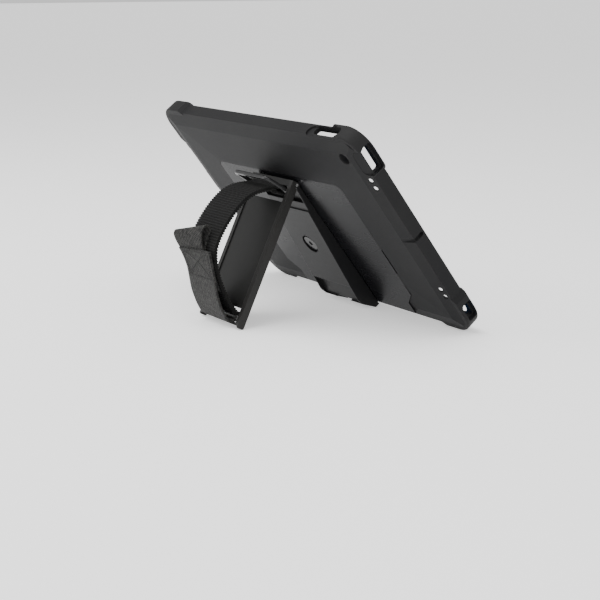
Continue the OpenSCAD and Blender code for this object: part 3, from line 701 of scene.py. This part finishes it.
rib_lines = []
for side in (1, -1):
    skin = offset_path(band_path, side * (band_thick / 2 / mm - 0.12))
    rib_lines.append([on_kickstand(0, d * mm, o * mm) for d, o in skin[len(top_loop) * 10:]])
ribs = repeated("elastic_ribs", rib_lines,
                {"Pitch": rib_pitch, "Rib radius": rib_radius, "Rib length": strap_width - 1.2 * mm},
                elastic_material, rib_shape, False)
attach(ribs, "kickstand")


# ---- Hook tape ------------------------------------------------------------------------------
# The tape between band and webbing that lets the strap be set: a field of small hooks.
hook_path = offset_path(smooth_path([(75.5, 36.0), (81, 32.4), (88, 26.0), (93, 20.6)]),
                        band_thick / 2 / mm + 0.9)
hooks = ribbon("hook_tape", hook_path, hook_path, strap_width - 6 * mm, 0.7 * mm, 8)
tape = Finish("hook_tape_pile")
bristle = tape.noise(0.3 * mm, 2, 0.8)
tape_material = tape.done(
    Base_Color=tape.mix(bristle, (0.004, 0.004, 0.004), (0.03, 0.03, 0.03)),
    Roughness=0.7 + bristle * 0.2,
    Normal=tape.bump(bristle, 0.3 * mm))
hooks.data.materials.append(tape_material)
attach(hooks, "kickstand")
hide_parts("hook_patch")


# ---- Webbing --------------------------------------------------------------------------------
# Flat polyester webbing, woven in a fine twill. It comes out of the foot slot round its pin, lies
# over the hook tape and is sewn to the pull tab with a box and a cross.
web = Finish("woven_webbing")
web_uv = web.node("ShaderNodeUVMap", {"uv_map": "UVMap"}, {})
web_u, web_v, _ = web.split(web_uv)
warp_pitch = 0.9
twill_pitch = 1.5
coarse_pitch = 3.1
selvage_from = 17.6
warp = (web_u * (2 * math.pi / warp_pitch)).sine()
twill = ((web_u + web_v * 1.1) * (2 * math.pi / twill_pitch)).sine()
web_fuzz = web.noise(0.5 * mm, 4, 0.75)
web_mottle = web.noise(2.6 * mm, 3, 0.8)
selvage = abs(web_u) > selvage_from
weave = twill * 0.5 * (1 - selvage) + warp * 0.25 + web_fuzz * 0.9 + web_mottle * 1.2
coarse = ((web_u - web_v * 0.9) * (2 * math.pi / coarse_pitch)).sine()
tone = (twill * 0.18 + coarse * 0.14 + (web_fuzz - 0.5) * 1.4 + (web_mottle - 0.5) * 2.4 + 0.42
        - selvage * 0.15)
tone = tone.at_least(0.0).at_most(1.0)
web_material = web.done(
    Base_Color=web.mix(tone, (0.002, 0.002, 0.002), (0.050, 0.049, 0.046)),
    Specular_IOR_Level=0.2,
    Roughness=0.74 + web_fuzz * 0.2,
    Normal=web.bump(weave, 0.3 * mm),
    Sheen_Weight=0.08,
    Sheen_Roughness=0.45)
web_thick = 1.7 * mm
foot_d = foot_pin_down / mm
web_wrap = 1.5 + web_thick / mm / 2 + 0.1
foot_loop = [(112.2, 8.0), (foot_d + web_wrap + 0.8, pin_o + 1.6), (foot_d + web_wrap - 0.2, pin_o - 0.6),
             (foot_d + 0.4, pin_o - web_wrap), (foot_d - 1.0, pin_o - web_wrap + 0.5)]
web_near = smooth_path([(70.2, 44.6), (73.5, 42.3), (78, 38.9), (84, 34.4), (91, 29.6), (98, 24.6),
                        (104, 19.0), (109, 13.2)] + foot_loop)
web_far = smooth_path([(73.6, 47.6), (76.2, 44.0), (79.6, 39.9), (84.6, 34.9), (91.4, 29.8), (98.2, 24.8),
                       (104, 19.2), (109, 13.4)] + foot_loop)
webbing = ribbon("webbing", web_near, web_far, strap_width, web_thick)
webbing.data.materials.append(web_material)
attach(webbing, "kickstand")
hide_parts("strap_webbing")


# ---- Pull tab -------------------------------------------------------------------------------
# The webbing's end, folded back on itself and sewn down to a narrower loop that stands off the band,
# so that a finger can pull the hook tape open.
tab_near = smooth_path([(77.0, 37.9), (72.5, 40.6), (67, 42.6), (61, 43.3), (56.0, 43.6), (52.6, 45.4),
                        (52.4, 48.4), (55.4, 50.2), (60.4, 49.4), (65.4, 46.8), (70.4, 42.9)], 6)
tab_far = smooth_path([(78.2, 39.0), (75.0, 42.0), (71.6, 44.8), (68.0, 48.0), (64.6, 51.6), (62.8, 54.2),
                       (63.4, 56.2), (66.0, 56.0), (68.9, 53.2), (71.4, 49.9), (73.4, 46.6)], 6)
tab_width = 27.5 * mm
tab = ribbon("pull_tab_loop", tab_near, tab_far, tab_width, 1.3 * mm, 12,
             (strap_width - tab_width) / 2)
tab.data.materials.append(web_material)
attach(tab, "kickstand")
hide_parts("pull_tab")


# ---- Stitches -------------------------------------------------------------------------------
# Black thread, sewn in a box with a cross that joins the webbing to the pull tab.
def stitch_shape(tree, size):
    """A stitch is a short fat grain of thread, laid along its line."""
    grain_of_thread = add_node(tree, "GeometryNodeMeshIcoSphere", {},
                               {"Subdivisions": 2, "Radius": 0.5}, "Mesh")
    stretch = add_node(tree, "ShaderNodeCombineXYZ", {},
                       {"X": size["Thread"], "Y": size["Thread"], "Z": size["Stitch length"]})
    return add_node(tree, "GeometryNodeTransform", {}, {"Geometry": grain_of_thread, "Scale": stretch})


def on_ribbon(near, far, width, lift, x_share, run_share):
    """A point on a ribbon's outer face, from -0.5 to 0.5 across and from 0 to 1 along its path."""
    at = run_share * (len(near) - 1)
    i = min(int(at), len(near) - 2)
    here, there = (Vector(near[k]) * (0.5 - x_share) + Vector(far[k]) * (0.5 + x_share)
                   for k in (i, i + 1))
    ahead = (there - here).normalized()
    down, out = here.lerp(there, at - i) + lift * Vector((-ahead.y, ahead.x))
    return on_kickstand(x_share * width, down * mm, out * mm)


def sewn_line(start, end, steps=24):
    """A straight line of sewing on the webbing, between two places given as shares of it."""
    places = [Vector(start).lerp(Vector(end), k / steps) for k in range(steps + 1)]
    return [on_ribbon(web_near, web_far, strap_width, web_thick / 2 / mm, *place) for place in places]


box_top, box_foot, box_side = 0.030, 0.30, 0.40
box = [(-box_side, box_top), (box_side, box_top), (box_side, box_foot), (-box_side, box_foot)]
sewn = [sewn_line(a, b) for a, b in zip(box, box[1:] + box[:1])]
sewn += [sewn_line(box[0], box[2]), sewn_line(box[1], box[3])]
thread = Finish("black_thread")
twist = thread.noise(0.2 * mm, 2)
thread_material = thread.done(
    Base_Color=thread.mix(twist, (0.006, 0.006, 0.006), (0.02, 0.02, 0.019)),
    Roughness=0.6 + twist * 0.2,
    Normal=thread.bump(twist, 0.05 * mm))
stitch_sizes = {"Pitch": 2.1 * mm, "Thread": 1.1 * mm, "Stitch length": 2.0 * mm}
stitches = repeated("stitches", sewn, stitch_sizes, thread_material, stitch_shape, True)
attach(stitches, "kickstand")


# ---- Floor and light ------------------------------------------------------------------------
# A plain pale floor, and soft light from overhead and from both sides.
floor = bpy.data.objects.new("floor", bpy.data.meshes.new("floor"))
reach = 12.0
floor.data.from_pydata([(-reach, -reach, 0), (reach, -reach, 0), (reach, reach, 0), (-reach, reach, 0)],
                       [], [(0, 1, 2, 3)])
bpy.context.collection.objects.link(floor)
sweep = Finish("pale_floor")
floor.data.materials.append(sweep.done(Base_Color=(0.90, 0.90, 0.90), Roughness=0.9,
                                       Specular_IOR_Level=0.1, Emission_Color=(1, 1, 1),
                                       Emission_Strength=0.55))

world = bpy.data.worlds.new("studio")
world.use_nodes = True
world.node_tree.nodes["Background"].inputs[0].default_value = (1.0, 1.0, 1.0, 1)
world.node_tree.nodes["Background"].inputs[1].default_value = 0.8
bpy.context.scene.world = world


def softbox(name, place, target, size, power):
    """A lamp as wide and high as size, aimed at a target."""
    lamp = bpy.data.objects.new(name, bpy.data.lights.new(name, "AREA"))
    bpy.context.collection.objects.link(lamp)
    lamp.data.shape = "RECTANGLE"
    lamp.data.size, lamp.data.size_y = size
    lamp.data.energy = power
    lamp.location = place
    lamp.rotation_euler = (Vector(target) - Vector(place)).to_track_quat("-Z", "Y").to_euler()


softbox("overhead", (0.1, 0.5, 1.3), (0, 0, 0.05), (1.2, 1.2), 18)
softbox("left_side", (0.9, 1.2, 0.6), (0, 0, 0.08), (0.7, 0.9), 8)
softbox("near_side", (-1.2, 0.3, 0.7), (0, 0, 0.08), (0.6, 0.6), 4)
